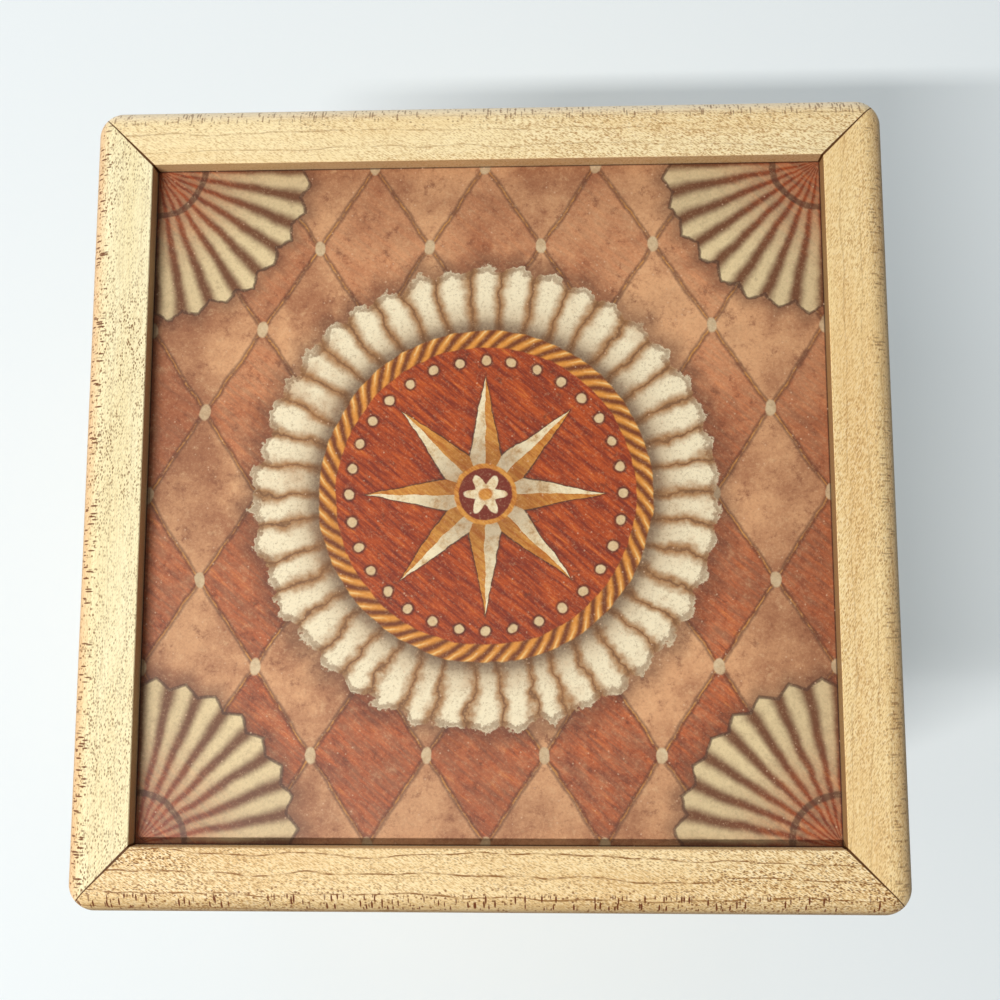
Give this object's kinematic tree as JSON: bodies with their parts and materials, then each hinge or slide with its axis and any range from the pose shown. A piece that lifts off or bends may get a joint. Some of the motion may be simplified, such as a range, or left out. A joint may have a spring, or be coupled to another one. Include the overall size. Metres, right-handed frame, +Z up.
{
  "type": "jack in the box",
  "caption": "Square wooden jack in the box with a framed picture lid on butt hinges, a push-button spring catch, and a cloth-gowned jester on a coil spring inside.",
  "frame": {"origin": "on the floor under the middle of the box", "axes": "+Z up, front with the push button towards -Y, hinges at the back towards +Y"},
  "size_m": [0.181, 0.181, 0.1564],
  "materials": {
    "maple": "oiled satin",
    "printed_board": "printed, satin varnish",
    "hardboard": "smooth unfinished",
    "beech": "turned, waxed",
    "brass": "satin",
    "steel": "bright drawn",
    "felt": "pressed felt",
    "face_paint": "painted, satin",
    "red_paint": "painted, gloss",
    "black_enamel": "gloss",
    "red_cloth": "wool felt",
    "gold_cloth": "wool felt",
    "brown_cloth": "wool felt",
    "cream_cloth": "starched cotton",
    "gown_cloth": "printed cotton"
  },
  "bodies": {
    "box": {"front_wall": "maple", "back_wall": "maple", "left_wall": "maple", "right_wall": "maple", "bottom_panel": "hardboard", "felt_feet": "felt", "spring_base": "beech", "base_screws": "steel", "pop_spring": "steel", "spring_staples_lower": "steel", "gown": "gown_cloth", "hinge_leaf_box_left": "brass", "hinge_leaf_box_right": "brass", "hinge_pin_left": "steel", "hinge_pin_right": "steel", "hinge_screws_box": "brass", "button_bezel": "brass", "bezel_screws": "brass", "catch_bush": "brass"},
    "lid": {"lid_rail_front": "maple", "lid_rail_back": "maple", "lid_rail_left": "maple", "lid_rail_right": "maple", "picture_panel": "printed_board", "backing_board": "hardboard", "retaining_beads": "maple", "bead_pins": "brass", "lid_keeper": "brass", "keeper_screws": "brass", "hinge_leaf_lid_left": "brass", "hinge_leaf_lid_right": "brass", "hinge_screws_lid": "brass"},
    "jack": {"shoulder_disc": "beech", "spring_staples_upper": "steel", "neck_screw": "steel", "neck_dowel": "beech", "head": "face_paint", "nose": "red_paint", "eyes": "black_enamel", "hat_crown": "red_cloth", "hat_band": "gold_cloth", "hat_point_left": "red_cloth", "hat_point_right": "gold_cloth", "hat_point_back": "brown_cloth", "hat_bells": "brass", "ruff": "cream_cloth", "arm_left": "gown_cloth", "arm_right": "gown_cloth", "hand_left": "beech", "hand_right": "beech"},
    "catch": {"push_button": "brass", "button_stem": "steel", "catch_hook": "steel", "hook_nut": "steel", "catch_spring": "steel"}
  },
  "joints": [
    {"name": "lid_hinge", "type": "hinge", "parent": "box", "child": "lid", "pos_m": [0, 0.0872, 0.1342], "axis": [-1, 0, 0], "range_deg": [0, 105]},
    {"name": "jack_pop", "type": "slide", "parent": "box", "child": "jack", "axis": [0, 0, 1], "range_m": [0, 0.1395], "deforming": ["pop_spring", "gown"]},
    {"name": "catch_press", "type": "slide", "parent": "box", "child": "catch", "axis": [0, 1, 0], "range_m": [0, 0.0026], "stiffness_N_per_m": 300, "springref_m": -0.003, "deforming": ["catch_spring"]}
  ],
  "couplings": [
    {"joint": "jack_pop", "follows": "lid_hinge", "m_per_rad": 0.076}
  ]
}
